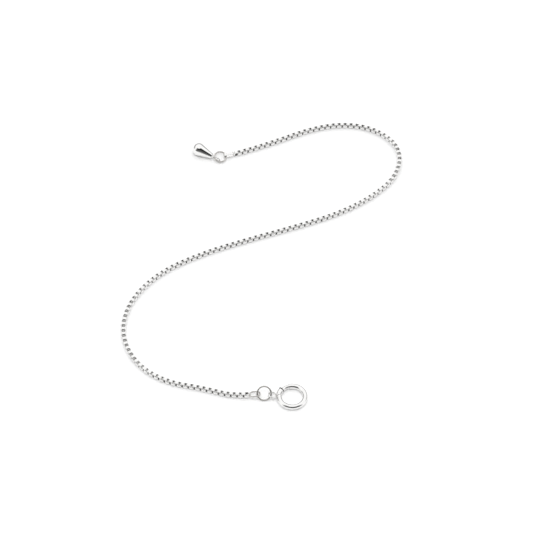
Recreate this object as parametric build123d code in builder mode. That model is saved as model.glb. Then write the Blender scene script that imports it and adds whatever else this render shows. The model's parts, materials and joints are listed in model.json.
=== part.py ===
from build123d import *
import os
from math import asin, atan2, cos, degrees, hypot, radians, sin

# Chain anklet of polished silver: a rounded box chain with a solid drop at one end and a
# spring ring at the other, lying unfastened in a loose S.
# Millimetres, +Z up, +Y along the S. The origin is on the surface that it lies on, under
# the middle of its box.

# ---- box chain: every link is a flat strip bent into a square ring, and each link is turned
# ---- a quarter turn from the one before it
CHAIN_WIDTH = 1.5
LINK_LENGTH = 1.6
STRIP_THICKNESS = 0.24
STRIP_WIDTH = 0.74
LINK_CORNER_CUT = 0.2
LOOSE_LINKS = 240
CHAIN_LIE = CHAIN_WIDTH / 2

# The chain's centreline, from the link soldered to the end tag to the one soldered to the
# end loop. Each stretch is an arc that leaves the one before it without a corner.
ROUTE_START = (-8.445, 41.98)
ROUTE_HEADING = 18.8
# (length, turn to the left in degrees)
ROUTE_STRETCHES = [
    (10.0, 4.4),
    (10.0, 1.4),
    (10.0, -13.0),
    (10.0, -24.3),
    (10.0, -33.8),
    (10.0, -49.8),
    (10.0, -35.6),
    (10.0, -13.6),
    (15.0, -13.2),
    (15.0, -2.2),
    (15.0, 2.0),
    (15.0, 8.9),
    (10.0, 15.5),
    (10.0, 18.8),
    (10.0, 25.3),
    (10.0, 28.9),
    (10.0, 28.1),
    (10.0, 22.1),
    (10.0, -5.7),
    (8.29, 17.6),
]
# The last stretch rises to the end loop, which leans on the clasp's jump ring.
RISE_LENGTH = 8.0
RISE_HEIGHT = 0.434

# ---- end tag: a strap closed round the drop's jump ring, soldered to the chain's first link
TAG_HEADING = 17.5
TAG_PITCH = -3.0
TAG_LENGTH = 3.4
TAG_HEIGHT = 1.41
TAG_WIDTH = 1.05
TAG_WALL = 0.2
TAG_SOFTENING = 0.08
TAG_TO_LINK = 2.4

# ---- drop's jump ring (tilt lifts its far side, roll lifts its right side)
DROP_RING_CENTRE = (-13.372, 40.472, 0.95)
DROP_RING_RADIUS = 1.775
DROP_RING_WIRE = 0.5
DROP_RING_TILT = 8.0
DROP_RING_ROLL = -3.4

# ---- teardrop: a ball that runs out as its tangent cone, with a rounded neck and an oval eye
DROP_WIDEST_AT = (-19.831, 42.567)
DROP_RADIUS = 2.0
DROP_CONE_REACH = 4.67
DROP_NECK_RADIUS = 0.77
DROP_NECK_SOFTENING = 0.25
DROP_HEADING = -27.3
DROP_FALL = 10.0
EYE_HALF_LENGTH = 1.29
EYE_HALF_WIDTH = 0.624
EYE_WIRE = 0.4
EYE_WELD = 0.2
EYE_TWIST = 100.2

# ---- end loop: oval wire loop soldered to the chain's last link
LOOP_HALF_LENGTH = 1.512
LOOP_HALF_WIDTH = 0.958
LOOP_WIRE = 0.45
LOOP_PITCH = 6.5
LOOP_TWIST = -5.9
LOOP_TO_LINK = 2.34

# ---- clasp's jump ring
CLASP_RING_CENTRE = (0.044, -48.817, 1.598)
CLASP_RING_RADIUS = 2.0
CLASP_RING_WIRE = 0.5
CLASP_RING_TILT = 41.2
CLASP_RING_ROLL = -3.2

# ---- spring ring clasp: angles run counter-clockwise from +X, seen from above
SPRING_RING_OUTSIDE = 9.0
SPRING_RING_AT = (8.145, -49.45)
TUBE_DIAMETER = 1.55
BORE_DIAMETER = 1.30
COLLAR_DIAMETER = 1.75
COLLAR_OUTSET = 0.2
COLLAR_SOFTENING = 0.12
MOUTH_AT = 105.0
COLLAR_FROM = 140.0
COLLAR_TO = 178.0
SOCKET_DEPTH = 7.0
BORE_END_AT = -172.0
SLOT_FROM = 41.0
SLOT_TO = 91.0
SLOT_WIDTH = 0.54
TAIL_ROOT_AT = 174.0
TAIL_ROOT_REACH = 4.35
TAIL_ROOT_HEIGHT = 0.775
TAIL_HEADING = 182.8
TAIL_PITCH = 15.6
TAIL_TWIST = 7.1
TAIL_RADIUS = 1.144
TAIL_WIRE = 0.45

# ---- sprung bolt, drawn closed
BOLT_DIAMETER = 1.20
BOLT_FROM = 62.0
BOLT_TO = 143.0
BOLT_TIP_SOFTENING = 0.2
THUMB_AT = 85.0
THUMB_DIAMETER = 0.4
THUMB_STANDS_OUT = 0.25
THUMB_DROOP = 30.0
THUMB_SOFTENING = 0.08


def route_station(distance):
    """Point and tangent of the chain's centreline at a distance along it."""
    x, y = ROUTE_START
    heading = radians(ROUTE_HEADING)
    left = distance
    for length, turn in ROUTE_STRETCHES:
        run = min(left, length)
        half_turn = radians(turn) * run / length / 2
        chord = run * sin(half_turn) / half_turn if half_turn else run
        x += chord * cos(heading + half_turn)
        y += chord * sin(heading + half_turn)
        heading += 2 * half_turn
        left -= run
        if left <= 0:
            break
    climb = max(0.0, 1 - (ROUTE_LENGTH - distance) / RISE_LENGTH)
    slope = 2 * RISE_HEIGHT * climb / RISE_LENGTH
    point = Vector(x, y, CHAIN_LIE + RISE_HEIGHT * climb**2)
    tangent = Vector(cos(heading), sin(heading), slope).normalized()
    return point, tangent


def direction(heading, pitch):
    """Unit vector at a compass heading from +X, pitched up from the floor."""
    level = cos(radians(pitch))
    return Vector(level * cos(radians(heading)), level * sin(radians(heading)), sin(radians(pitch)))


def twisted_plane(origin, along, twist):
    """Plane whose x axis is along, and whose y axis is level and then turned about it."""
    level_side = Vector(-along.Y, along.X, 0).normalized()
    upright = along.cross(level_side)
    side = level_side * cos(radians(twist)) + upright * sin(radians(twist))
    return Plane(origin=origin, x_dir=along, z_dir=along.cross(side))


def leaning_plane(origin, tilt, roll):
    """Plane of a ring that leans: tilt lifts its far side and roll its right side."""
    right = Vector(cos(radians(roll)), 0, sin(radians(roll)))
    far = Vector(0, cos(radians(tilt)), sin(radians(tilt)))
    return Plane(origin=origin, x_dir=right, z_dir=right.cross(far))


def link_plane(point, tangent, upright):
    """Plane of one link's opening: level, or standing upright along the chain."""
    side = Vector(-tangent.Y, tangent.X, 0).normalized()
    return Plane(origin=point, x_dir=tangent, z_dir=side if upright else tangent.cross(side))


def wire_loop(plane, half_length, half_width, wire):
    """Add a round wire bent into an oval, half_length by half_width at its middle line."""
    straight = half_length - half_width
    with BuildLine(plane) as path:
        CenterArc((straight, 0), half_width, -90, 180)
        Line((straight, half_width), (-straight, half_width))
        CenterArc((-straight, 0), half_width, 90, 180)
        Line((-straight, -half_width), (straight, -half_width))
    with BuildSketch(Plane(origin=path.line @ 0, z_dir=path.line % 0)) as section:
        Circle(wire / 2)
    sweep(section.sketch, path=path.line)


def finish(part, name):
    """Label a piece and write it out."""
    part.label = name
    export_step(part, f"parts/{name}.step")


os.makedirs("parts", exist_ok=True)

ROUTE_LENGTH = sum(length for length, turn in ROUTE_STRETCHES)
LINK_PITCH = ROUTE_LENGTH / (LOOSE_LINKS + 1)

# ---- one link, lying flat, used for the whole chain
with BuildPart() as link:
    with BuildSketch():
        Rectangle(LINK_LENGTH, CHAIN_WIDTH)
        chamfer(vertices(), LINK_CORNER_CUT)
        opening = (LINK_LENGTH - 2 * STRIP_THICKNESS, CHAIN_WIDTH - 2 * STRIP_THICKNESS)
        Rectangle(*opening, mode=Mode.SUBTRACT)
    extrude(amount=STRIP_WIDTH / 2, both=True)

# ---- the loose links: odd ones lie flat and even ones stand upright
link_places = []
for index in range(1, LOOSE_LINKS + 1):
    point, tangent = route_station(index * LINK_PITCH)
    link_places.append(link_plane(point, tangent, upright=index % 2 == 0).location)
with BuildPart() as box_chain:
    with Locations(*link_places):
        add(link.part)
finish(box_chain.part, "box_chain")

# ---- end tag, standing on edge round the jump ring, with the chain's first link
first_point, first_tangent = route_station(0)
tag_along = direction(TAG_HEADING, TAG_PITCH)
tag_centre = first_point - tag_along * TAG_TO_LINK
tag_plane = twisted_plane(tag_centre, tag_along, 90)
with BuildPart() as chain_end_tag:
    with BuildSketch(tag_plane):
        SlotOverall(TAG_LENGTH, TAG_HEIGHT)
        SlotOverall(TAG_LENGTH - 2 * TAG_WALL, TAG_HEIGHT - 2 * TAG_WALL, mode=Mode.SUBTRACT)
    extrude(amount=TAG_WIDTH / 2, both=True)
    fillet(chain_end_tag.edges().filter_by(GeomType.CIRCLE), TAG_SOFTENING)
    with Locations(link_plane(first_point, direction(TAG_HEADING, 0), upright=True).location):
        add(link.part)
finish(chain_end_tag.part, "chain_end_tag")

# ---- drop's jump ring
with BuildPart(leaning_plane(DROP_RING_CENTRE, DROP_RING_TILT, DROP_RING_ROLL)) as drop_jump_ring:
    Torus(DROP_RING_RADIUS, DROP_RING_WIRE / 2)
finish(drop_jump_ring.part, "drop_jump_ring")

# ---- teardrop: half of its outline turned about its axis, with the eye soldered to the neck
drop_along = direction(DROP_HEADING, -DROP_FALL)
drop_plane = twisted_plane((*DROP_WIDEST_AT, DROP_RADIUS), drop_along, 0)
# the cone leaves the ball as its tangent through the neck's edge
neck_distance = hypot(DROP_CONE_REACH, DROP_NECK_RADIUS)
shoulder_turn = degrees(asin(DROP_RADIUS / neck_distance) - atan2(DROP_NECK_RADIUS, DROP_CONE_REACH))
eye_centre_reach = DROP_CONE_REACH + EYE_HALF_LENGTH + EYE_WIRE / 2 - EYE_WELD
eye_plane = twisted_plane(drop_plane.origin + drop_along * eye_centre_reach, drop_along, EYE_TWIST)
with BuildPart() as teardrop:
    with BuildSketch(drop_plane):
        with BuildLine():
            ball = CenterArc((0, 0), DROP_RADIUS, 180, -90 - shoulder_turn)
            Polyline(
                ball @ 1,
                (DROP_CONE_REACH, DROP_NECK_RADIUS),
                (DROP_CONE_REACH, 0),
                (-DROP_RADIUS, 0),
            )
        make_face()
    revolve(axis=Axis(drop_plane.origin, drop_along))
    neck_rim = teardrop.edges().filter_by(GeomType.CIRCLE).sort_by(SortBy.RADIUS)[0]
    fillet(neck_rim, DROP_NECK_SOFTENING)
    wire_loop(eye_plane, EYE_HALF_LENGTH, EYE_HALF_WIDTH, EYE_WIRE)
finish(teardrop.part, "teardrop")

# ---- end loop with the chain's last link
last_point, last_tangent = route_station(ROUTE_LENGTH)
loop_along = direction(0, LOOP_PITCH)
loop_plane = twisted_plane(last_point + loop_along * LOOP_TO_LINK, loop_along, LOOP_TWIST)
with BuildPart() as chain_end_loop:
    wire_loop(loop_plane, LOOP_HALF_LENGTH, LOOP_HALF_WIDTH, LOOP_WIRE)
    with Locations(link_plane(last_point, loop_along, upright=False).location):
        add(link.part)
finish(chain_end_loop.part, "chain_end_loop")

# ---- clasp's jump ring
with BuildPart(leaning_plane(CLASP_RING_CENTRE, CLASP_RING_TILT, CLASP_RING_ROLL)) as clasp_jump_ring:
    Torus(CLASP_RING_RADIUS, CLASP_RING_WIRE / 2)
finish(clasp_jump_ring.part, "clasp_jump_ring")

# ---- spring ring: a hollow tube bent round, open at its mouth, with a collar over its other
# ---- end; the collar rests on the surface and has a blind socket for the bolt's tip
ring_centre = Vector(*SPRING_RING_AT, COLLAR_DIAMETER / 2)
ring_axis = Axis(ring_centre, (0, 0, 1))
tube_reach = (SPRING_RING_OUTSIDE - TUBE_DIAMETER) / 2
collar_reach = tube_reach + COLLAR_OUTSET


def section_plane(angle):
    """Upright plane through the ring's axis, with its x axis pointing outward at the angle."""
    outward = direction(angle, 0)
    return Plane(origin=ring_centre, x_dir=outward, z_dir=outward.cross(Vector(0, 0, 1)))


tail_root = ring_centre + direction(TAIL_ROOT_AT, 0) * TAIL_ROOT_REACH
tail_root.Z = TAIL_ROOT_HEIGHT
tail_along = direction(TAIL_HEADING, TAIL_PITCH)
tail_centre = tail_root + tail_along * (TAIL_RADIUS + TAIL_WIRE / 2)
with BuildPart() as spring_ring:
    with BuildSketch(section_plane(COLLAR_FROM)):
        with Locations((collar_reach, 0)):
            Circle(COLLAR_DIAMETER / 2)
    revolve(axis=ring_axis, revolution_arc=COLLAR_TO - COLLAR_FROM)
    fillet(spring_ring.edges().filter_by(GeomType.CIRCLE).sort_by(SortBy.RADIUS)[:2], COLLAR_SOFTENING)
    with BuildSketch(section_plane(COLLAR_TO - 1)):
        with Locations((tube_reach, 0)):
            Circle(TUBE_DIAMETER / 2)
    revolve(axis=ring_axis, revolution_arc=360 - (COLLAR_TO - 1 - MOUTH_AT))
    with BuildSketch(section_plane(BORE_END_AT)):
        with Locations((tube_reach, 0)):
            Circle(BORE_DIAMETER / 2)
    revolve(axis=ring_axis, revolution_arc=MOUTH_AT - BORE_END_AT, mode=Mode.SUBTRACT)
    with BuildSketch(section_plane(COLLAR_FROM)):
        with Locations((tube_reach, 0)):
            Circle(BORE_DIAMETER / 2)
    revolve(axis=ring_axis, revolution_arc=SOCKET_DEPTH, mode=Mode.SUBTRACT)
    with BuildSketch(section_plane(SLOT_FROM)):
        with Locations((tube_reach, 0)):
            Rectangle(TUBE_DIAMETER, SLOT_WIDTH, rotation=-THUMB_DROOP, align=(Align.MIN, Align.CENTER))
    revolve(axis=ring_axis, revolution_arc=SLOT_TO - SLOT_FROM, mode=Mode.SUBTRACT)
    with Locations(twisted_plane(tail_centre, tail_along, TAIL_TWIST).location):
        Torus(TAIL_RADIUS, TAIL_WIRE / 2)
finish(spring_ring.part, "spring_ring")

# ---- bolt: a bent rod that slides in the tube, with a thumb piece through the slot
thumb_root = ring_centre + direction(THUMB_AT, 0) * tube_reach
thumb_along = direction(THUMB_AT, -THUMB_DROOP)
with BuildPart() as spring_bolt:
    with BuildSketch(section_plane(BOLT_FROM)):
        with Locations((tube_reach, 0)):
            Circle(BOLT_DIAMETER / 2)
    revolve(axis=ring_axis, revolution_arc=BOLT_TO - BOLT_FROM)
    fillet(spring_bolt.edges().filter_by(GeomType.CIRCLE), BOLT_TIP_SOFTENING)
    with BuildSketch(Plane(origin=thumb_root, z_dir=thumb_along)):
        Circle(THUMB_DIAMETER / 2)
    extrude(amount=TUBE_DIAMETER / 2 + THUMB_STANDS_OUT)
finish(spring_bolt.part, "spring_bolt")
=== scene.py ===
"""Looks of a silver chain anklet that lies unfastened in a loose S.

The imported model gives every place. This script lays finely shaped pieces over the loose chain
links, the two soldered chain ends and the jump rings, keeps the drop and the clasp as they are,
gives each a polished silver finish, and sets up a pale studio around them.

Shapes are worked out in millimetres and go into their meshes in metres.
"""

from __future__ import annotations

import json
import logging
import math
from dataclasses import dataclass, field
from enum import Enum
from typing import Any

import bpy
import numpy as np
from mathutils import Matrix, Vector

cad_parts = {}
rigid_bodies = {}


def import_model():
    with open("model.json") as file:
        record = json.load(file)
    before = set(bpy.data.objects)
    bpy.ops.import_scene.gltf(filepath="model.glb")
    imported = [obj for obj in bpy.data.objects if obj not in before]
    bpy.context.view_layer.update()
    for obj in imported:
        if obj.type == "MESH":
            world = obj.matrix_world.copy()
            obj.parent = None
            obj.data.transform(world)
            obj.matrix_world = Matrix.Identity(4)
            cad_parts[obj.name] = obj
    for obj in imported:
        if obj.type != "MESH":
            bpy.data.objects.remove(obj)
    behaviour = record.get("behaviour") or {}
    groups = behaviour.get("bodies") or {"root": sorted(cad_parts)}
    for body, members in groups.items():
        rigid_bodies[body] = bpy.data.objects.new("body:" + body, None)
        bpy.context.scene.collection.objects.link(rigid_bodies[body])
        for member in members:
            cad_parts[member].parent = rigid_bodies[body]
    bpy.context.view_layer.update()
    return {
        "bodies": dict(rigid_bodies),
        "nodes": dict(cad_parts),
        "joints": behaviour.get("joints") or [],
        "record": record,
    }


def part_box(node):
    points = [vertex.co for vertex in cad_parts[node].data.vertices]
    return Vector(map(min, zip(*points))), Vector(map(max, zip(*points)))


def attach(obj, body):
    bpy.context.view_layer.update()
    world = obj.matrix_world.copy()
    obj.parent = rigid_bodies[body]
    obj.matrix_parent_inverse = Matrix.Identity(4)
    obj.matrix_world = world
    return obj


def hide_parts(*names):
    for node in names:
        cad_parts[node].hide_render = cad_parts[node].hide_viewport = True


LOG = logging.getLogger("anklet")
MM = 0.001
ROOT = "root"
WHITE = "#FFFFFF"

# Name of the mesh attribute that says how polished each point is. Where it is low, the silver
# is duller and darker with painted shade.
POLISH = "polish"

# Points nearer to each other than this, in millimetres, are one.
SAME_POINT = 1e-6

# A direction in which no soldered joint points.
OFF_AXIS = (0.31, 0.52, 0.79)

Array = np.ndarray
Socket = bpy.types.NodeSocket
Tree = bpy.types.NodeTree


# ---------------------------------------------------------------------------------------------
# Shapes on grids
# ---------------------------------------------------------------------------------------------


def grid_quads(rows: int, columns: int, wrap_rows: bool = True) -> Array:
    """Corner numbers of the quads of a grid whose points are stored row after row.

    Each row is a closed ring of points. Quad (i, j) has the corners (i, j), (i, j + 1),
    (i + 1, j + 1) and (i + 1, j), so a tube whose rows follow its path and whose columns turn
    right-handed about it has faces that look outwards.

    Args:
        rows: Number of rows of points.
        columns: Number of points in a row.
        wrap_rows: Whether the last row joins the first.

    Returns:
        An array of four corner numbers for each quad.
    """
    row, column = np.meshgrid(
        np.arange(rows if wrap_rows else rows - 1), np.arange(columns), indexing="ij"
    )
    next_row, next_column = (row + 1) % rows, (column + 1) % columns
    corners = (
        row * columns + column,
        row * columns + next_column,
        next_row * columns + next_column,
        next_row * columns + column,
    )
    return np.stack(corners, axis=-1).reshape(-1, 4)


@dataclass
class Shell:
    """A surface as points in millimetres and faces as corner numbers.

    Attributes:
        points: One row of x, y and z for each point.
        faces: An array of corner numbers for each kind of face.
        polish: How polished each point is, 0 to 1, where that differs; low ones get painted
            shade.
        ridges: Number of points in the section of a strip whose long edges stay crisp, or 0.
    """

    points: Array
    faces: list[Array] = field(default_factory=list)
    polish: Array | None = None
    ridges: int = 0

    def repeated(self, frames: Array) -> Shell:
        """Copies of the shell, one in each frame.

        A copy's point is the frame's centre plus x, y and z times its three axes.

        Args:
            frames: For each copy a 4 x 3 array of centre, x axis, y axis and z axis.

        Returns:
            One shell with all the copies.
        """
        copies = frames[:, None, 0] + np.einsum("pa,fac->fpc", self.points, frames[:, 1:])
        steps = np.arange(len(frames))[:, None, None] * len(self.points)
        faces = [(kind[None] + steps).reshape(-1, kind.shape[1]) for kind in self.faces]
        polish = None if self.polish is None else np.tile(self.polish, len(frames))
        return Shell(copies.reshape(-1, 3), faces, polish, self.ridges)

    def piece(self, name: str, material: bpy.types.Material) -> bpy.types.Object:
        """Puts the shell into the scene as a smooth-shaded mesh that rides on the root body.

        An edge runs along a strip when both its ends have the same place in the section, that
        is the same remainder after division by ridges. Those edges are marked sharp.

        Args:
            name: Name of the object and of its mesh.
            material: The finish that covers it.

        Returns:
            The new object, at the origin, with its place in its mesh.
        """
        mesh = bpy.data.meshes.new(name)
        faces = [corners for kind in self.faces for corners in kind.tolist()]
        mesh.from_pydata((self.points * MM).tolist(), [], faces)
        mesh.polygons.foreach_set("use_smooth", np.ones(len(faces), dtype=bool))
        if self.polish is not None:
            mesh.attributes.new(POLISH, "FLOAT", "POINT").data.foreach_set("value", self.polish)
        mesh.validate()
        if self.ridges:
            ends = np.empty(2 * len(mesh.edges), dtype=np.int32)
            mesh.edges.foreach_get("vertices", ends)
            corner = ends.reshape(-1, 2) % self.ridges
            sharp = mesh.attributes.new("sharp_edge", "BOOLEAN", "EDGE")
            sharp.data.foreach_set("value", corner[:, 0] == corner[:, 1])
        mesh.materials.append(material)
        made = bpy.data.objects.new(name, mesh)
        bpy.context.scene.collection.objects.link(made)
        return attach(made, ROOT)


def unit(vector: Array) -> Array:
    """The vectors, each scaled to length 1."""
    vector = np.asarray(vector, dtype=float)
    return vector / np.linalg.norm(vector, axis=-1, keepdims=True)


def heading_vector(heading: float, pitch: float = 0.0) -> Array:
    """Unit vector (cos h cos p, sin h cos p, sin p) of a heading h and a pitch p.

    Args:
        heading: Degrees round from +X.
        pitch: Degrees up from the table.

    Returns:
        The vector.
    """
    turn, rise = math.radians(heading), math.radians(pitch)
    level = math.cos(rise)
    return np.array([math.cos(turn) * level, math.sin(turn) * level, math.sin(rise)])


def closed_sweep(path: Array, outward: Array, across: Array, profile: Array) -> Shell:
    """A profile carried round a closed path.

    Point (i, j) is path[i] + a[j] * outward[i] + b[j] * across[i], where (a, b) is profile[j].

    Args:
        path: Points of the closed path.
        outward: Unit vector at each point, away from the path's middle.
        across: Unit vector at each point, square to outward and to the path.
        profile: Points (a, b) of the closed section, counter-clockwise.

    Returns:
        The closed shell.
    """
    points = (
        path[:, None]
        + profile[None, :, :1] * outward[:, None]
        + profile[None, :, 1:] * across[:, None]
    )
    return Shell(points.reshape(-1, 3), [grid_quads(len(path), len(profile))])


def round_profile(radius: float, sides: int) -> Array:
    """Points of a circle: radius times (cos, sin) of evenly spaced angles."""
    angle = np.linspace(0, 2 * math.pi, sides, endpoint=False)
    return radius * np.stack([np.cos(angle), np.sin(angle)], axis=1)


def rounded_rectangle(
    length: float, width: float, corner: float, steps: int
) -> tuple[Array, Array]:
    """Outline of a rectangle with round corners, and its outward directions.

    Each corner is an arc of the given radius about a centre that stands corner inside both
    sides: point = centre + corner * (cos, sin), with steps + 1 angles over its quarter turn.
    Where two arcs meet with no straight side between them, their shared point is kept once.

    Args:
        length: Size along x.
        width: Size along y.
        corner: Radius of the corners.
        steps: Segments in each corner.

    Returns:
        Points and unit outward vectors, counter-clockwise from the right side.
    """
    turn = np.linspace(0, math.pi / 2, steps + 1)
    angle = (turn[None] + np.arange(4)[:, None] * math.pi / 2).reshape(-1)
    outward = np.stack([np.cos(angle), np.sin(angle)], axis=1)
    signs = np.repeat(np.array([[1, 1], [-1, 1], [-1, -1], [1, -1]]), steps + 1, axis=0)
    centres = signs * np.array([length / 2 - corner, width / 2 - corner])
    points = centres + corner * outward
    apart = np.linalg.norm(points - np.roll(points, 1, axis=0), axis=1) > SAME_POINT
    return points[apart], outward[apart]


def blob(centre: Array, axis: Array, radius: float, half_length: float, rings: int = 12) -> Shell:
    """A bead of solder: an ellipsoid with its poles on the axis.

    Ring i stands at half_length * cos(t) along the axis, with radius * sin(t) about it.

    Args:
        centre: Its middle.
        axis: Direction of its poles.
        radius: Its size square to the axis.
        half_length: Its size along the axis.
        rings: Number of rings between the poles.

    Returns:
        The closed shell.
    """
    along = unit(axis)
    side = unit(np.cross(along, OFF_AXIS))
    up = np.cross(along, side)
    sides = 2 * rings
    tilt = np.linspace(0, math.pi, rings + 2)[1:-1][:, None, None]
    turn = np.linspace(0, 2 * math.pi, sides, endpoint=False)[None, :, None]
    rows = (
        centre
        - half_length * np.cos(tilt) * along
        + radius * np.sin(tilt) * (np.cos(turn) * side + np.sin(turn) * up)
    )
    poles = [centre - half_length * along, centre + half_length * along]
    points = np.vstack([rows.reshape(-1, 3), poles])
    first, last = rings * sides, rings * sides + 1
    here = np.arange(sides)
    there = (here + 1) % sides
    start = np.stack([np.full(sides, first), there, here], axis=1)
    end_row = (rings - 1) * sides
    end = np.stack([np.full(sides, last), end_row + here, end_row + there], axis=1)
    return Shell(points, [grid_quads(rings, sides, wrap_rows=False), start, end])


# ---------------------------------------------------------------------------------------------
# Finishes
# ---------------------------------------------------------------------------------------------


def srgb_to_linear(hex_colour: str) -> tuple[float, float, float, float]:
    """Linear RGBA of an sRGB hex colour.

    Up to 0.04045 a channel is divided by 12.92, and above it is ((c + 0.055) / 1.055) ^ 2.4.

    Args:
        hex_colour: The colour, such as "#F4F1EA".

    Returns:
        Linear red, green and blue, and an alpha of 1.
    """
    channels = np.array([int(hex_colour[i : i + 2], 16) for i in (1, 3, 5)]) / 255
    linear = np.where(channels <= 0.04045, channels / 12.92, ((channels + 0.055) / 1.055) ** 2.4)
    return (*linear.tolist(), 1.0)


def add_node(
    tree: Tree,
    kind: str,
    settings: dict[str, Any] | None = None,
    inputs: dict[str | int, Any] | None = None,
) -> bpy.types.Node:
    """Adds a node with its settings, and sets or links its inputs.

    Args:
        tree: The node tree.
        kind: The node's type name.
        settings: Its own attributes.
        inputs: Value, or output socket to link from, for each input's name or number.

    Returns:
        The new node.
    """
    node = tree.nodes.new(kind)
    for key, value in (settings or {}).items():
        setattr(node, key, value)
    for key, value in (inputs or {}).items():
        socket = node.inputs[key]
        if isinstance(value, Socket):
            tree.links.new(value, socket)
        else:
            socket.default_value = value
    return node


@dataclass(frozen=True)
class PolishedSilver:
    """Sterling silver worked up to a polish: an almost neutral metal with a faint warm cast.

    Polishing lines, drawn out along y, soften its reflections a little. A polishing wheel leaves
    them about a hundredth of a millimetre apart, which is too fine to show, so they are drawn
    five times as coarse. Broad patches that were rubbed more or less shift the gloss. A metal
    keeps the default IOR.

    Attributes:
        name: Name of the material.
        silver: Colour where it is freshly polished.
        worn: Colour where it has dulled a little.
        gloss: Roughness of both.
        line_spacing_mm: Distance between polishing lines.
        line_depth_mm: Depth of the lines.
        patch_mm: Size of the patches.
        line_stretch: How dense the lines' pattern is along each axis, as a share.
        line_turn: How the pattern is turned after that, in radians.
        recess: Colour of the painted shade where the polish attribute is low, if any.
        recess_gloss: Roughness there.
        polished_above: Polish value from which the silver has no painted shade.
        seam: Colour of the painted shadow along a seam, if there is one.
    """

    name: str
    silver: str = "#F4F4F3"
    worn: str = "#EBEAE9"
    gloss: tuple[float, float] = (0.05, 0.12)
    line_spacing_mm: float = 0.05
    line_depth_mm: float = 0.0006
    patch_mm: float = 1.5
    line_stretch: tuple[float, float, float] = (1.0, 0.15, 1.0)
    line_turn: tuple[float, float, float] = (0.3, 0.2, 0.6)
    recess: str | None = None
    recess_gloss: float = 0.45
    polished_above: float = 0.35
    seam: str | None = None

    def rubbed(self, tree: Tree, place: Socket) -> tuple[Socket, Socket]:
        """Colour and gloss that drift between fresh and worn in broad patches.

        Args:
            tree: The material's node tree.
            place: Object coordinates.

        Returns:
            The colour and the roughness.
        """
        patches = add_node(
            tree,
            "ShaderNodeTexNoise",
            inputs={"Vector": place, "Scale": 1 / (self.patch_mm * MM), "Detail": 3.0},
        ).outputs["Fac"]
        tone = add_node(
            tree,
            "ShaderNodeMix",
            {"data_type": "RGBA"},
            {
                "Factor": patches,
                "A": srgb_to_linear(self.silver),
                "B": srgb_to_linear(self.worn),
            },
        )
        gloss = add_node(
            tree,
            "ShaderNodeMapRange",
            inputs={"Value": patches, "To Min": self.gloss[0], "To Max": self.gloss[1]},
        )
        return tone.outputs["Result"], gloss.outputs["Result"]

    def lined(self, tree: Tree, place: Socket) -> Socket:
        """The normal, roughened by the polishing lines.

        Args:
            tree: The material's node tree.
            place: Object coordinates.

        Returns:
            The normal.
        """
        stretched = add_node(
            tree,
            "ShaderNodeMapping",
            inputs={"Vector": place, "Scale": self.line_stretch, "Rotation": self.line_turn},
        )
        lines = add_node(
            tree,
            "ShaderNodeTexNoise",
            inputs={
                "Vector": stretched.outputs["Vector"],
                "Scale": 1 / (self.line_spacing_mm * MM),
                "Detail": 2.0,
            },
        )
        bump = add_node(
            tree,
            "ShaderNodeBump",
            inputs={
                "Height": lines.outputs["Fac"],
                "Strength": 1.0,
                "Distance": self.line_depth_mm * MM,
            },
        )
        return bump.outputs["Normal"]

    def recessed(self, tree: Tree, colour: Socket, roughness: Socket) -> tuple[Socket, Socket]:
        """Painted shade of the hollows: darker, duller silver where the polish attribute is low.

        Args:
            tree: The material's node tree.
            colour: Colour of the bright silver.
            roughness: Its roughness.

        Returns:
            The colour and the roughness with the painted shade and its roughness mixed in.
        """
        attribute = add_node(tree, "ShaderNodeAttribute", {"attribute_name": POLISH})
        polish = add_node(
            tree,
            "ShaderNodeMapRange",
            inputs={"Value": attribute.outputs["Fac"], "From Max": self.polished_above},
        ).outputs["Result"]
        # Where polish is low, the colour turns to recess: painted shade.
        tone = add_node(
            tree,
            "ShaderNodeMix",
            {"data_type": "RGBA"},
            {"Factor": polish, "A": srgb_to_linear(self.recess), "B": colour},
        )
        gloss = add_node(
            tree,
            "ShaderNodeMix",
            inputs={"Factor": polish, "A": self.recess_gloss, "B": roughness},
        )
        return tone.outputs["Result"], gloss.outputs["Result"]

    def seamed(self, tree: Tree, place: Socket, colour: Socket, seam_at: Array) -> Socket:
        """A painted shadow at a seam: all that lies within its breadth, seen round the axis, is
        dark.

        The angle round the axis is arctan2(y - axis y, x - axis x).

        Args:
            tree: The material's node tree.
            place: Object coordinates.
            colour: Colour of the silver beside the seam.
            seam_at: Where the seam is, as material() takes it.

        Returns:
            The colour with the seam's painted shadow in it.
        """
        x, y, middle, half = seam_at
        arm = add_node(
            tree,
            "ShaderNodeVectorMath",
            {"operation": "SUBTRACT"},
            {0: place, 1: (x * MM, y * MM, 0.0)},
        )
        reach = add_node(
            tree, "ShaderNodeSeparateXYZ", inputs={"Vector": arm.outputs["Vector"]}
        ).outputs
        turn = add_node(
            tree, "ShaderNodeMath", {"operation": "ARCTAN2"}, {0: reach["Y"], 1: reach["X"]}
        )
        inside = add_node(
            tree,
            "ShaderNodeMath",
            {"operation": "COMPARE"},
            {0: turn.outputs["Value"], 1: math.radians(middle), 2: math.radians(half)},
        )
        return add_node(
            tree,
            "ShaderNodeMix",
            {"data_type": "RGBA"},
            {"Factor": inside.outputs["Value"], "A": colour, "B": srgb_to_linear(self.seam)},
        ).outputs["Result"]

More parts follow.
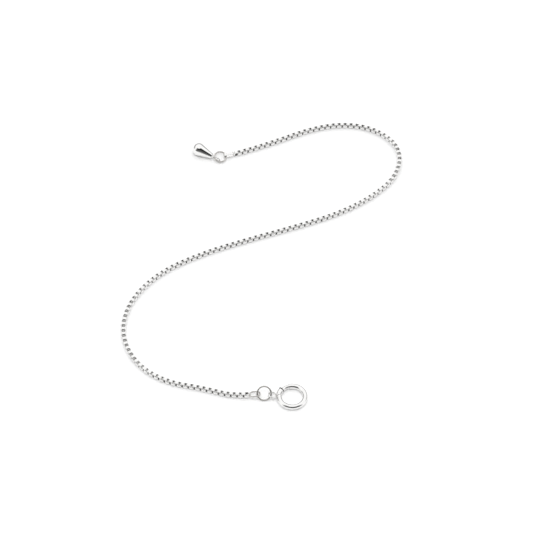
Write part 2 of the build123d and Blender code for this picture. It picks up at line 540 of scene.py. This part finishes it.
    def material(self, seam_at: Array | None = None) -> bpy.types.Material:
        """Builds the finish as a node material on Object coordinates.

        Args:
            seam_at: Where a seam's painted shadow lies: x and y of the axis that it points to, in
                millimetres, then its middle and half its breadth, in degrees round that axis.

        Returns:
            The new material.
        """
        made = bpy.data.materials.new(self.name)
        made.use_nodes = True
        tree = made.node_tree
        tree.nodes.clear()
        place = add_node(tree, "ShaderNodeTexCoord").outputs["Object"]
        colour, roughness = self.rubbed(tree, place)
        normal = self.lined(tree, place)
        # Painted shade in the hollows, where the polish attribute is low.
        if self.recess is not None:
            colour, roughness = self.recessed(tree, colour, roughness)
        # Painted shadow along a seam, such as the collar's mouth.
        if self.seam is not None and seam_at is not None:
            colour = self.seamed(tree, place, colour, seam_at)
        shader = add_node(
            tree,
            "ShaderNodeBsdfPrincipled",
            inputs={
                "Base Color": colour,
                "Metallic": 1.0,
                "Roughness": roughness,
                "Normal": normal,
            },
        )
        add_node(tree, "ShaderNodeOutputMaterial", inputs={"Surface": shader.outputs["BSDF"]})
        return made


class Finish(Enum):
    """The anklet's finishes, one for each kind of work."""

    # Sterling strip, rolled, bent and tumbled as a finished chain: flat faces with a soft even
    # shine. Inside the links the silver is duller, and darker with painted shade of the hollows.
    CHAIN = PolishedSilver(
        "tumbled_silver_strip", gloss=(0.15, 0.25), patch_mm=2.5, recess="#7A7876"
    )
    # Sterling strap, polished by hand after soldering: bright, with a slight wave.
    STRAP = PolishedSilver("polished_silver_strap", gloss=(0.07, 0.14), patch_mm=1.0)
    # Drawn sterling wire, torch soldered: duller than the rest, with cloudy patches. Its silver
    # is greyer than the rest, which is painted shade for the shade and dark reflections on thin
    # wire.
    WIRE = PolishedSilver(
        "soldered_silver_wire",
        silver="#DCDAD7",
        worn="#C0BDBA",
        gloss=(0.12, 0.24),
        patch_mm=0.8,
    )
    # Solid cast sterling, mirror polished: sharp reflections with a dark band.
    DROP = PolishedSilver("mirror_polished_silver", gloss=(0.04, 0.09), line_depth_mm=0.0003)
    # Sterling tube, bent and buffed on a wheel: nearly a mirror, with a painted shadow along the
    # mouth of its collar, where the bolt goes in.
    TUBE = PolishedSilver(
        "buffed_silver_tube", gloss=(0.05, 0.10), line_depth_mm=0.0004, seam="#1E1D1C"
    )
    # Sterling rod, buffed as the tube is.
    BOLT = PolishedSilver("buffed_silver_bolt", gloss=(0.05, 0.10), line_depth_mm=0.0004)


class Finishes:
    """Keeps one material for each finish, made when it is first asked for."""

    def __init__(self) -> None:
        """Starts with none made."""
        self._made: dict[Finish, bpy.types.Material] = {}

    def of(self, finish: Finish) -> bpy.types.Material:
        """The material of a finish.

        Args:
            finish: Which finish.

        Returns:
            Its material, the same one each time.
        """
        if finish not in self._made:
            self._made[finish] = finish.value.material()
        return self._made[finish]


# ---------------------------------------------------------------------------------------------
# What the frame says
# ---------------------------------------------------------------------------------------------


class CadNodes:
    """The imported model's nodes, measured in millimetres."""

    def __init__(self, frame: dict[str, Any]) -> None:
        """Keeps the loaded frame.
        """
        self.objects: dict[str, bpy.types.Object] = frame["nodes"]

    def vertices(self, node: str) -> Array:
        """All the vertices of a node.

        Args:
            node: The node's name.

        Returns:
            One row of x, y and z for each vertex.
        """
        mesh = self.objects[node].data
        flat = np.empty(len(mesh.vertices) * 3, dtype=np.float32)
        mesh.vertices.foreach_get("co", flat)
        return flat.reshape(-1, 3).astype(float) / MM

    def box(self, node: str) -> tuple[Array, Array]:
        """Lowest and highest corner of a node."""
        low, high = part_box(node)
        return np.array(low) / MM, np.array(high) / MM

    def dress(self, node: str, material: bpy.types.Material) -> None:
        """Gives a node that keeps its own shape its finish.

        Args:
            node: The node's name.
            material: The finish that covers it.
        """
        slots = self.objects[node].data.materials
        slots.clear()
        slots.append(material)


# ---------------------------------------------------------------------------------------------
# Chain
# ---------------------------------------------------------------------------------------------


@dataclass
class Link:
    """One link of the rounded box chain: a silver strip bent into a square ring.

    Lengths are in millimetres. x runs along the chain and z through the link's opening.

    Attributes:
        length: Outside length along the chain.
        width: Outside width.
        strip_thickness: Thickness of the strip.
        strip_width: Width of the strip.
        packed_strip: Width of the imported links' strip, which their boxes end with.
        corner_radius: Radius of the bends in the strip's middle line.
        outer_face: Width of the strip's outer face, as a share of its widest line.
        inner_face: Width of its inner face, as such a share.
        shoulder: Where the widest line lies between middle (0) and outer face (1).
    """

    length: float = 1.6
    width: float = 1.5
    strip_thickness: float = 0.24
    strip_width: float = 0.96
    packed_strip: float = 0.74
    corner_radius: float = 0.42
    outer_face: float = 0.92
    inner_face: float = 0.95
    shoulder: float = 0.5

    def shell(self, corner_steps: int = 2) -> Shell:
        """The link about the origin.

        The strip's section is a flat hexagon, and it is carried round the rounded rectangle of
        the strip's middle line. Its long edges are crisp. The outer face and both shoulders are
        polished, and the inner face is duller and gets painted shade.

        Args:
            corner_steps: Segments in each bend of the strip.

        Returns:
            The link's shell, with 12 x 6 faces at two segments a bend.
        """
        outline, normals = rounded_rectangle(
            self.length - self.strip_thickness,
            self.width - self.strip_thickness,
            self.corner_radius,
            corner_steps,
        )
        level = np.zeros((len(outline), 1))
        path = np.hstack([outline, level])
        outward = np.hstack([normals, level])
        across = np.tile([0.0, 0.0, 1.0], (len(outline), 1))
        depth, reach = self.strip_thickness / 2, self.strip_width / 2
        section = np.array(
            [
                (depth, -self.outer_face * reach),
                (depth, self.outer_face * reach),
                (self.shoulder * depth, reach),
                (-depth, self.inner_face * reach),
                (-depth, -self.inner_face * reach),
                (self.shoulder * depth, -reach),
            ]
        )
        shell = closed_sweep(path, outward, across, section[::-1])
        # Outer face and shoulders 1; inner face 0, which gets painted shade.
        polish = np.array([1.0, 1.0, 1.0, 0.0, 0.0, 1.0])
        shell.polish = np.tile(polish[::-1], len(outline))
        shell.ridges = len(section)
        return shell


@dataclass
class BoxChain:
    """The loose links, each a quarter turn from the next.

    Attributes:
        count: Number of loose links.
        link: The link that is laid over each of them.
    """

    count: int = 240
    link: Link = field(default_factory=Link)

    def frames(self, vertices: Array) -> Array:
        """Where each link lies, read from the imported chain.

        A link's centre is the mean of its corners. Its opening faces the direction in which
        its corners spread least, and of the other two the one nearer to the way to the next
        link runs along the chain.

        Args:
            vertices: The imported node's vertices, link after link.

        Returns:
            For each link a 4 x 3 array of centre, x axis, y axis and z axis.
        """
        corners = vertices.reshape(self.count, -1, 3)
        centres = corners.mean(axis=1)
        spread = corners - centres[:, None]
        _, axes = np.linalg.eigh(np.einsum("lpa,lpb->lab", spread, spread))
        axes = np.swapaxes(axes, 1, 2)
        gaps = np.linalg.norm(centres[:, None] - centres[None], axis=-1)
        np.fill_diagonal(gaps, np.inf)
        way = unit(centres[gaps.argmin(axis=1)] - centres)
        lean = np.abs(np.einsum("lac,lc->la", axes[:, 1:], way))
        along = np.where((lean[:, 0] > lean[:, 1])[:, None], axes[:, 1], axes[:, 2])
        opening = axes[:, 0]
        return np.stack([centres, along, np.cross(opening, along), opening], axis=1)

    def build(self, nodes: CadNodes, finishes: Finishes) -> None:
        """Lays a finely shaped link over each packed one.

        Args:
            nodes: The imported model's nodes.
            finishes: The materials made so far.
        """
        frames = self.frames(nodes.vertices("box_chain"))
        chain = self.link.shell().repeated(frames)
        piece = chain.piece("box_chain_links", finishes.of(Finish.CHAIN))
        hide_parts("box_chain")
        LOG.info("box chain: %d links, %d points", self.count, len(chain.points))


@dataclass
class EndTag:
    """The strap that closes the chain's far end, with the chain's first link soldered to it.

    Angles are in degrees and lengths in millimetres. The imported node's box ends with the link,
    which gives the link's middle.

    Attributes:
        heading: Where the strap and the link head, from +X.
        pitch: How far the strap's long direction rises towards the link.
        length, height, width: Outside sizes of the strap.
        wall: Thickness of the strap.
        softening: Radius of the strap's long edges.
        to_link: From the strap's middle to the link's.
        bend_steps, edge_steps: Segments in each quarter of a bend and of a long edge.
        solder_radius, solder_half_length: Sizes of the solder's bead, across and along.
        link: The link that is soldered to the strap.
    """

    heading: float = 17.5
    pitch: float = -3.0
    length: float = 3.4
    height: float = 1.41
    width: float = 1.05
    wall: float = 0.2
    softening: float = 0.08
    to_link: float = 2.4
    bend_steps: int = 20
    edge_steps: int = 4
    solder_radius: float = 0.36
    solder_half_length: float = 0.16
    link: Link = field(default_factory=Link)

    def strap(self, centre: Array, along: Array, side: Array) -> Shell:
        """The strap: a rounded flat section carried round an upright slot.

        Args:
            centre: Its middle.
            along: Its long direction.
            side: The level direction square to it.

        Returns:
            The closed shell.
        """
        middle_height = self.height - self.wall
        outline, normals = rounded_rectangle(
            self.length - self.wall, middle_height, middle_height / 2, self.bend_steps
        )
        up = np.cross(along, side)
        path = centre + outline[:, :1] * along + outline[:, 1:] * up
        outward = normals[:, :1] * along + normals[:, 1:] * up
        across = np.tile(-side, (len(path), 1))
        section, _ = rounded_rectangle(self.wall, self.width, self.softening, self.edge_steps)
        return closed_sweep(path, outward, across, section[::-1])

    def build(self, nodes: CadNodes, finishes: Finishes) -> None:
        """Builds the strap, its link and the solder between them.

        Args:
            nodes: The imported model's nodes.
            finishes: The materials made so far.
        """
        level = heading_vector(self.heading)
        side = np.array([-level[1], level[0], 0.0])
        low, high = nodes.box("chain_end_tag")
        reach = self.link.length / 2 * level + self.link.packed_strip / 2 * np.abs(side)
        link_centre = high - reach
        link_centre[2] = low[2] + self.link.width / 2
        along = heading_vector(self.heading, self.pitch)
        centre = link_centre - self.to_link * along
        material = finishes.of(Finish.STRAP)
        strap = self.strap(centre, along, side).piece("chain_end_strap", material)
        frame = np.stack([link_centre, level, np.cross(side, level), side])
        link = self.link.shell().repeated(frame[None])
        first_link = link.piece("first_link", finishes.of(Finish.CHAIN))
        joint = centre + self.length / 2 * along
        bead = blob(joint, along, self.solder_radius, self.solder_half_length)
        solder = bead.piece("strap_solder", material)
        for piece, slot in (
            (strap, "fittings_silver"),
            (first_link, "chain_silver"),
            (solder, "fittings_silver"),
        ):
            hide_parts("chain_end_tag")
        LOG.info("end tag: strap, first link and solder")


@dataclass
class EndLoop:
    """The oval wire loop that closes the chain's near end, with the last link soldered to it.

    Angles are in degrees and lengths in millimetres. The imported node's box begins with the
    link, which gives the link's middle.

    Attributes:
        pitch: How far the loop and its link rise away from the chain.
        twist: How far the loop is turned about its long direction.
        half_length, half_width: Half of the sizes of the wire's middle line.
        wire: Thickness of the wire.
        to_link: From the loop's middle to the link's.
        bend_steps: Segments in each quarter of a bend.
        sides: Sides round the wire.
        solder_radius, solder_half_length: Sizes of the solder's bead, across and along.
        link: The link that is soldered to the loop.
    """

    pitch: float = 6.5
    twist: float = -5.9
    half_length: float = 1.512
    half_width: float = 0.958
    wire: float = 0.45
    to_link: float = 2.34
    bend_steps: int = 24
    sides: int = 24
    solder_radius: float = 0.3
    solder_half_length: float = 0.2
    link: Link = field(default_factory=Link)

    def loop(self, centre: Array, along: Array, side: Array) -> Shell:
        """The loop: a round wire carried round a slot.

        Args:
            centre: Its middle.
            along: Its long direction.
            side: Its short direction.

        Returns:
            The closed shell.
        """
        outline, normals = rounded_rectangle(
            2 * self.half_length, 2 * self.half_width, self.half_width, self.bend_steps
        )
        path = centre + outline[:, :1] * along + outline[:, 1:] * side
        outward = normals[:, :1] * along + normals[:, 1:] * side
        across = np.tile(np.cross(along, side), (len(path), 1))
        wire = round_profile(self.wire / 2, self.sides)
        return closed_sweep(path, outward, across, wire[::-1])

    def build(self, nodes: CadNodes, finishes: Finishes) -> None:
        """Builds the loop, its link and the solder between them.

        Args:
            nodes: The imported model's nodes.
            finishes: The materials made so far.
        """
        along = heading_vector(0.0, self.pitch)
        level_side = np.array([0.0, 1.0, 0.0])
        upright = np.cross(along, level_side)
        turn = math.radians(self.twist)
        side = math.cos(turn) * level_side + math.sin(turn) * upright
        low, high = nodes.box("chain_end_loop")
        reach = self.link.length / 2 * along + self.link.packed_strip / 2 * np.abs(upright)
        link_centre = low + reach
        link_centre[1] = (low[1] + high[1]) / 2
        centre = link_centre + self.to_link * along
        material = finishes.of(Finish.WIRE)
        loop = self.loop(centre, along, side).piece("end_loop_wire", material)
        frame = np.stack([link_centre, along, level_side, upright])
        link = self.link.shell().repeated(frame[None])
        last_link = link.piece("last_link", finishes.of(Finish.CHAIN))
        joint = centre - (self.half_length + self.wire / 2) * along
        bead = blob(joint, along, self.solder_radius, self.solder_half_length)
        solder = bead.piece("loop_solder", material)
        for piece, slot in (
            (loop, "fittings_silver"),
            (last_link, "chain_silver"),
            (solder, "fittings_silver"),
        ):
            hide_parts("chain_end_loop")
        LOG.info("end loop: loop, last link and solder")


# ---------------------------------------------------------------------------------------------
# Jump rings
# ---------------------------------------------------------------------------------------------


@dataclass
class JumpRing:
    """A round wire ring, cut from a coil, closed butt to butt and soldered.

    Attributes:
        node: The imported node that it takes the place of.
        joint_at: Where its joint is, in degrees round the ring.
        joint_swell: How much thicker the wire is there, as a share.
        joint_spread: Half of the joint's length, in degrees round the ring.
        sections: Sections round the ring.
        sides: Points in each section.
    """

    node: str
    joint_at: float
    joint_swell: float = 0.03
    joint_spread: float = 5.0
    sections: int = 192
    sides: int = 32

    def shell(self, vertices: Array) -> Shell:
        """The ring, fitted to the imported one.

        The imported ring's plane is the one from which its points stray least. With the ring's
        middle radius R and the wire's radius r, section i stands at angle t, and its wire is
        thicker at the soldered joint: r * (1 + swell * exp(-((t - joint) / spread)^2)).

        Args:
            vertices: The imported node's vertices.

        Returns:
            The closed shell.
        """
        low, high = vertices.min(axis=0), vertices.max(axis=0)
        centre = (low + high) / 2
        _, _, axes = np.linalg.svd(vertices - centre, full_matrices=False)
        normal = axes[2] * np.sign(axes[2, 2])
        right = unit(np.cross([0.0, 1.0, 0.0], normal))
        far = np.cross(normal, right)
        offsets = vertices - centre
        distance = np.hypot(offsets @ right, offsets @ far)
        middle = (distance.max() + distance.min()) / 2
        wire = (distance.max() - distance.min()) / 2
        angle = np.linspace(0, 2 * math.pi, self.sections, endpoint=False)
        outward = np.cos(angle)[:, None] * right + np.sin(angle)[:, None] * far
        apart = np.angle(np.exp(1j * (angle - math.radians(self.joint_at))))
        swell = 1 + self.joint_swell * np.exp(-((apart / math.radians(self.joint_spread)) ** 2))
        profile = round_profile(wire, self.sides)[::-1]
        points = centre + middle * outward[:, None]
        section = profile[None, :, :1] * outward[:, None] + profile[None, :, 1:] * normal
        points = points + swell[:, None, None] * section
        return Shell(points.reshape(-1, 3), [grid_quads(self.sections, self.sides)])

    def build(self, nodes: CadNodes, finishes: Finishes) -> None:
        """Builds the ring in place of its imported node.

        Args:
            nodes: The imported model's nodes.
            finishes: The materials made so far.
        """
        shell = self.shell(nodes.vertices(self.node))
        piece = shell.piece(f"{self.node}_wire", finishes.of(Finish.WIRE))
        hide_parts(self.node)
        LOG.info("%s: %d points", self.node, len(shell.points))


# ---------------------------------------------------------------------------------------------
# Drop and clasp
# ---------------------------------------------------------------------------------------------


@dataclass
class Teardrop:
    """The solid drop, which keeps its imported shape."""

    node: str = "teardrop"

    def build(self, nodes: CadNodes, finishes: Finishes) -> None:
        """Gives the drop its finish."""
        nodes.dress(self.node, finishes.of(Finish.DROP))
        LOG.info("%s: mirror polish", self.node)


@dataclass
class Clasp:
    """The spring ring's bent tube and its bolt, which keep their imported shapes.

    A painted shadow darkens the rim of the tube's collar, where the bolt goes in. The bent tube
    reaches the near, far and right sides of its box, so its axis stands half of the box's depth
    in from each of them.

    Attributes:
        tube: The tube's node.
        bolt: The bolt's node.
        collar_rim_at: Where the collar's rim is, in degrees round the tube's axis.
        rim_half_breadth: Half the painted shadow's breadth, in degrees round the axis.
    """

    tube: str = "spring_ring"
    bolt: str = "spring_bolt"
    collar_rim_at: float = 142.0
    rim_half_breadth: float = 4.2

    def build(self, nodes: CadNodes, finishes: Finishes) -> None:
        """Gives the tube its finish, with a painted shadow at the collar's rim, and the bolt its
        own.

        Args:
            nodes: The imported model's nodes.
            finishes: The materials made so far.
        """
        low, high = nodes.box(self.tube)
        radius = (high[1] - low[1]) / 2
        x, y = high[0] - radius, low[1] + radius
        # The painted shadow at the collar's rim lies round this axis.
        seam_at = np.array([x, y, self.collar_rim_at, self.rim_half_breadth])
        nodes.dress(self.tube, Finish.TUBE.value.material(seam_at))
        nodes.dress(self.bolt, finishes.of(Finish.BOLT))
        LOG.info("clasp: buffed tube with a dark collar rim, and its bolt")


# ---------------------------------------------------------------------------------------------
# Studio
# ---------------------------------------------------------------------------------------------


@dataclass
class Studio:
    """A pale table under a white tent, seen from the front and above.

    Places and lengths are in metres, angles in degrees.

    Attributes:
        elevation: The camera's height over the table, as an angle.
        distance: From the camera to its target.
        target: The point that the camera looks at.
        lens: Focal length in millimetres.
        sensor: Width of the sensor in millimetres.
        near, far: The camera's clipping distances.
        floor_half: Half the table's side.
        board: Colour of the table's white board.
        tooth_mm, tooth_depth_mm, tooth_strength: Size, depth and strength of its tooth.
        glow: How much of its light the board gives back evenly.
        tent_light: Brightness of the tent.
        rim_light: Brightness of its dim rim.
        gap_light: Brightness of the gap at its lower and upper edge.
        gap_low, gap_high, gap_right, gap_left: Where each edge of the gap begins and is full.
        rim_fade: Elevations at which the dim rim begins and is full.
        rim_back: Azimuths at which it begins and is full.
        lamp_at, lamp_size, lamp_power: Place, side and watts of the overhead softbox.
    """

    elevation: float = 52.0
    distance: float = 1.04
    target: tuple[float, float, float] = (0.000715, -0.00114, 0.0)
    lens: float = 236.4
    sensor: float = 36.0
    near: float = 0.01
    far: float = 20.0
    floor_half: float = 3.0
    board: str = "#F6F6F6"
    tooth_mm: float = 1.111
    tooth_depth_mm: float = 0.05
    tooth_strength: float = 0.2
    glow: float = 0.05
    tent_light: float = 1.12
    rim_light: float = 0.35
    gap_light: tuple[float, float] = (0.2, 0.0)
    gap_low: tuple[float, float] = (2.0, 8.0)
    gap_high: tuple[float, float] = (67.0, 58.0)
    gap_right: tuple[float, float] = (78.0, 50.0)
    gap_left: tuple[float, float] = (-74.0, -48.0)
    rim_fade: tuple[float, float] = (34.0, 14.0)
    rim_back: tuple[float, float] = (80.0, 110.0)
    lamp_at: tuple[float, float, float] = (0.0, -0.3, 1.0)
    lamp_size: float = 0.5
    lamp_power: float = 4.6

    def camera(self) -> None:
        """Places the camera south of the anklet, looking north and down."""
        rise = math.radians(self.elevation)
        back = np.array([0.0, -math.cos(rise), math.sin(rise)])
        data = bpy.data.cameras.new("camera")
        data.lens = self.lens
        data.sensor_width = self.sensor
        data.clip_start = self.near
        data.clip_end = self.far
        made = bpy.data.objects.new("camera", data)
        made.location = np.array(self.target) + self.distance * back
        made.rotation_euler = (math.pi / 2 - rise, 0.0, 0.0)
        bpy.context.scene.collection.objects.link(made)
        bpy.context.scene.camera = made

    def board_material(self) -> bpy.types.Material:
        """The table's matt white pressed board, whose tooth keeps it from shining.

        The tooth is finer than a tenth of a millimetre on real board, which is too fine to show,
        so it is drawn about ten times as coarse.

        Returns:
            The new material.
        """
        made = bpy.data.materials.new("matt_white_board")
        made.use_nodes = True
        tree = made.node_tree
        tree.nodes.clear()
        place = add_node(tree, "ShaderNodeTexCoord").outputs["Object"]
        tooth = add_node(
            tree,
            "ShaderNodeTexNoise",
            inputs={"Vector": place, "Scale": 1 / (self.tooth_mm * MM)},
        )
        bump = add_node(
            tree,
            "ShaderNodeBump",
            inputs={
                "Height": tooth.outputs["Fac"],
                "Strength": self.tooth_strength,
                "Distance": self.tooth_depth_mm * MM,
            },
        )
        shader = add_node(
            tree,
            "ShaderNodeBsdfPrincipled",
            inputs={
                "Base Color": srgb_to_linear(self.board),
                "Roughness": 0.9,
                "Emission Color": srgb_to_linear(WHITE),
                "Emission Strength": self.glow,
                "Specular IOR Level": 0.1,
                "Normal": bump.outputs["Normal"],
            },
        )
        add_node(tree, "ShaderNodeOutputMaterial", inputs={"Surface": shader.outputs["BSDF"]})
        return made

    def floor(self) -> None:
        """Lays the table, a square sheet of board under the anklet."""
        half = self.floor_half
        mesh = bpy.data.meshes.new("table_top")
        corners = [(-half, -half, 0.0), (half, -half, 0.0), (half, half, 0.0), (-half, half, 0.0)]
        mesh.from_pydata(corners, [], [(0, 1, 2, 3)])
        mesh.materials.append(self.board_material())
        made = bpy.data.objects.new("table_top", mesh)
        bpy.context.scene.collection.objects.link(made)

    def ray_angles(self, tree: Tree) -> tuple[Socket, Socket]:
        """Where a ray goes: arcsin z is its elevation and arctan2(x, -y) its azimuth.

        Args:
            tree: The world's node tree.

        Returns:
            Its elevation, and its azimuth from the camera's side, positive to the right.
        """
        way = add_node(tree, "ShaderNodeTexCoord").outputs["Generated"]
        parts = add_node(tree, "ShaderNodeSeparateXYZ", inputs={"Vector": way}).outputs
        elevation = add_node(tree, "ShaderNodeMath", {"operation": "ARCSINE"}, {0: parts["Z"]})
        front = add_node(
            tree, "ShaderNodeMath", {"operation": "MULTIPLY"}, {0: parts["Y"], 1: -1.0}
        )
        azimuth = add_node(
            tree,
            "ShaderNodeMath",
            {"operation": "ARCTAN2"},
            {0: parts["X"], 1: front.outputs["Value"]},
        )
        return elevation.outputs["Value"], azimuth.outputs["Value"]

    def tent(self) -> None:
        """Wraps a white tent round the table, with a dark gap on the camera's side.

        The gap lies between the front reflector and the overhead softbox, and gets darker
        upwards. It is the product of four soft steps, one at each of its edges, in the ray's
        elevation and azimuth. The tent's rim is dim behind the table.
        """
        world = bpy.data.worlds.new("tent")
        world.use_nodes = True
        tree = world.node_tree
        tree.nodes.clear()
        rise, side = self.ray_angles(tree)
        back = add_node(tree, "ShaderNodeMath", {"operation": "ABSOLUTE"}, {0: side})
        shades: dict[str, Socket | float] = {"gap": 1.0, "rim": 1.0}
        for shade, angle, (start, end) in (
            ("gap", rise, self.gap_low),
            ("gap", rise, self.gap_high),
            ("gap", side, self.gap_right),
            ("gap", side, self.gap_left),
            ("rim", rise, self.rim_fade),
            ("rim", back.outputs["Value"], self.rim_back),
        ):
            step = add_node(
                tree,
                "ShaderNodeMapRange",
                {"interpolation_type": "SMOOTHSTEP"},
                {"Value": angle, "From Min": math.radians(start), "From Max": math.radians(end)},
            )
            shades[shade] = add_node(
                tree,
                "ShaderNodeMath",
                {"operation": "MULTIPLY"},
                {0: shades[shade], 1: step.outputs["Result"]},
            ).outputs["Value"]
        depth = add_node(
            tree,
            "ShaderNodeMapRange",
            inputs={
                "Value": rise,
                "From Min": math.radians(self.gap_low[1]),
                "From Max": math.radians(self.gap_high[1]),
                "To Min": self.gap_light[0],
                "To Max": self.gap_light[1],
            },
        )
        white = add_node(
            tree,
            "ShaderNodeMix",
            inputs={"Factor": shades["rim"], "A": self.tent_light, "B": self.rim_light},
        )
        strength = add_node(
            tree,
            "ShaderNodeMix",
            inputs={
                "Factor": shades["gap"],
                "A": white.outputs["Result"],
                "B": depth.outputs["Result"],
            },
        )
        light = add_node(
            tree,
            "ShaderNodeBackground",
            inputs={"Color": srgb_to_linear(WHITE), "Strength": strength.outputs["Result"]},
        )
        add_node(tree, "ShaderNodeOutputWorld", inputs={"Surface": light.outputs["Background"]})
        bpy.context.scene.world = world

    def lamp(self) -> None:
        """Hangs a square soft light that faces the middle of the table.

        Its rotation tips it by the angle between its way to the middle and straight down, and
        turns it by the way's heading. The metal doesn't mirror it.
        """
        data = bpy.data.lights.new("overhead_softbox", "AREA")
        data.shape = "SQUARE"
        data.size = self.lamp_size
        data.energy = self.lamp_power
        made = bpy.data.objects.new("overhead_softbox", data)
        made.visible_glossy = False
        made.location = self.lamp_at
        x, y, z = (-place for place in self.lamp_at)
        made.rotation_euler = (math.atan2(math.hypot(x, y), -z), 0.0, math.atan2(-x, y))
        bpy.context.scene.collection.objects.link(made)

    def build(self) -> None:
        """Sets up the camera, the table, the tent and the lamp."""
        self.camera()
        self.floor()
        self.tent()
        self.lamp()
        bpy.context.scene.view_settings.view_transform = "Standard"
        LOG.info("studio set up")


def main() -> None:
    """Builds the anklet's pieces in order, then the studio."""
    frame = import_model()
    nodes = CadNodes(frame)
    finishes = Finishes()
    BoxChain().build(nodes, finishes)
    EndTag().build(nodes, finishes)
    EndLoop().build(nodes, finishes)
    JumpRing("drop_jump_ring", joint_at=70.0).build(nodes, finishes)
    JumpRing("clasp_jump_ring", joint_at=120.0).build(nodes, finishes)
    Teardrop().build(nodes, finishes)
    Clasp().build(nodes, finishes)
    Studio().build()
    LOG.info("sizes written")


if __name__ == "__main__":
    logging.basicConfig(level=logging.INFO, format="%(name)s: %(message)s")
    main()
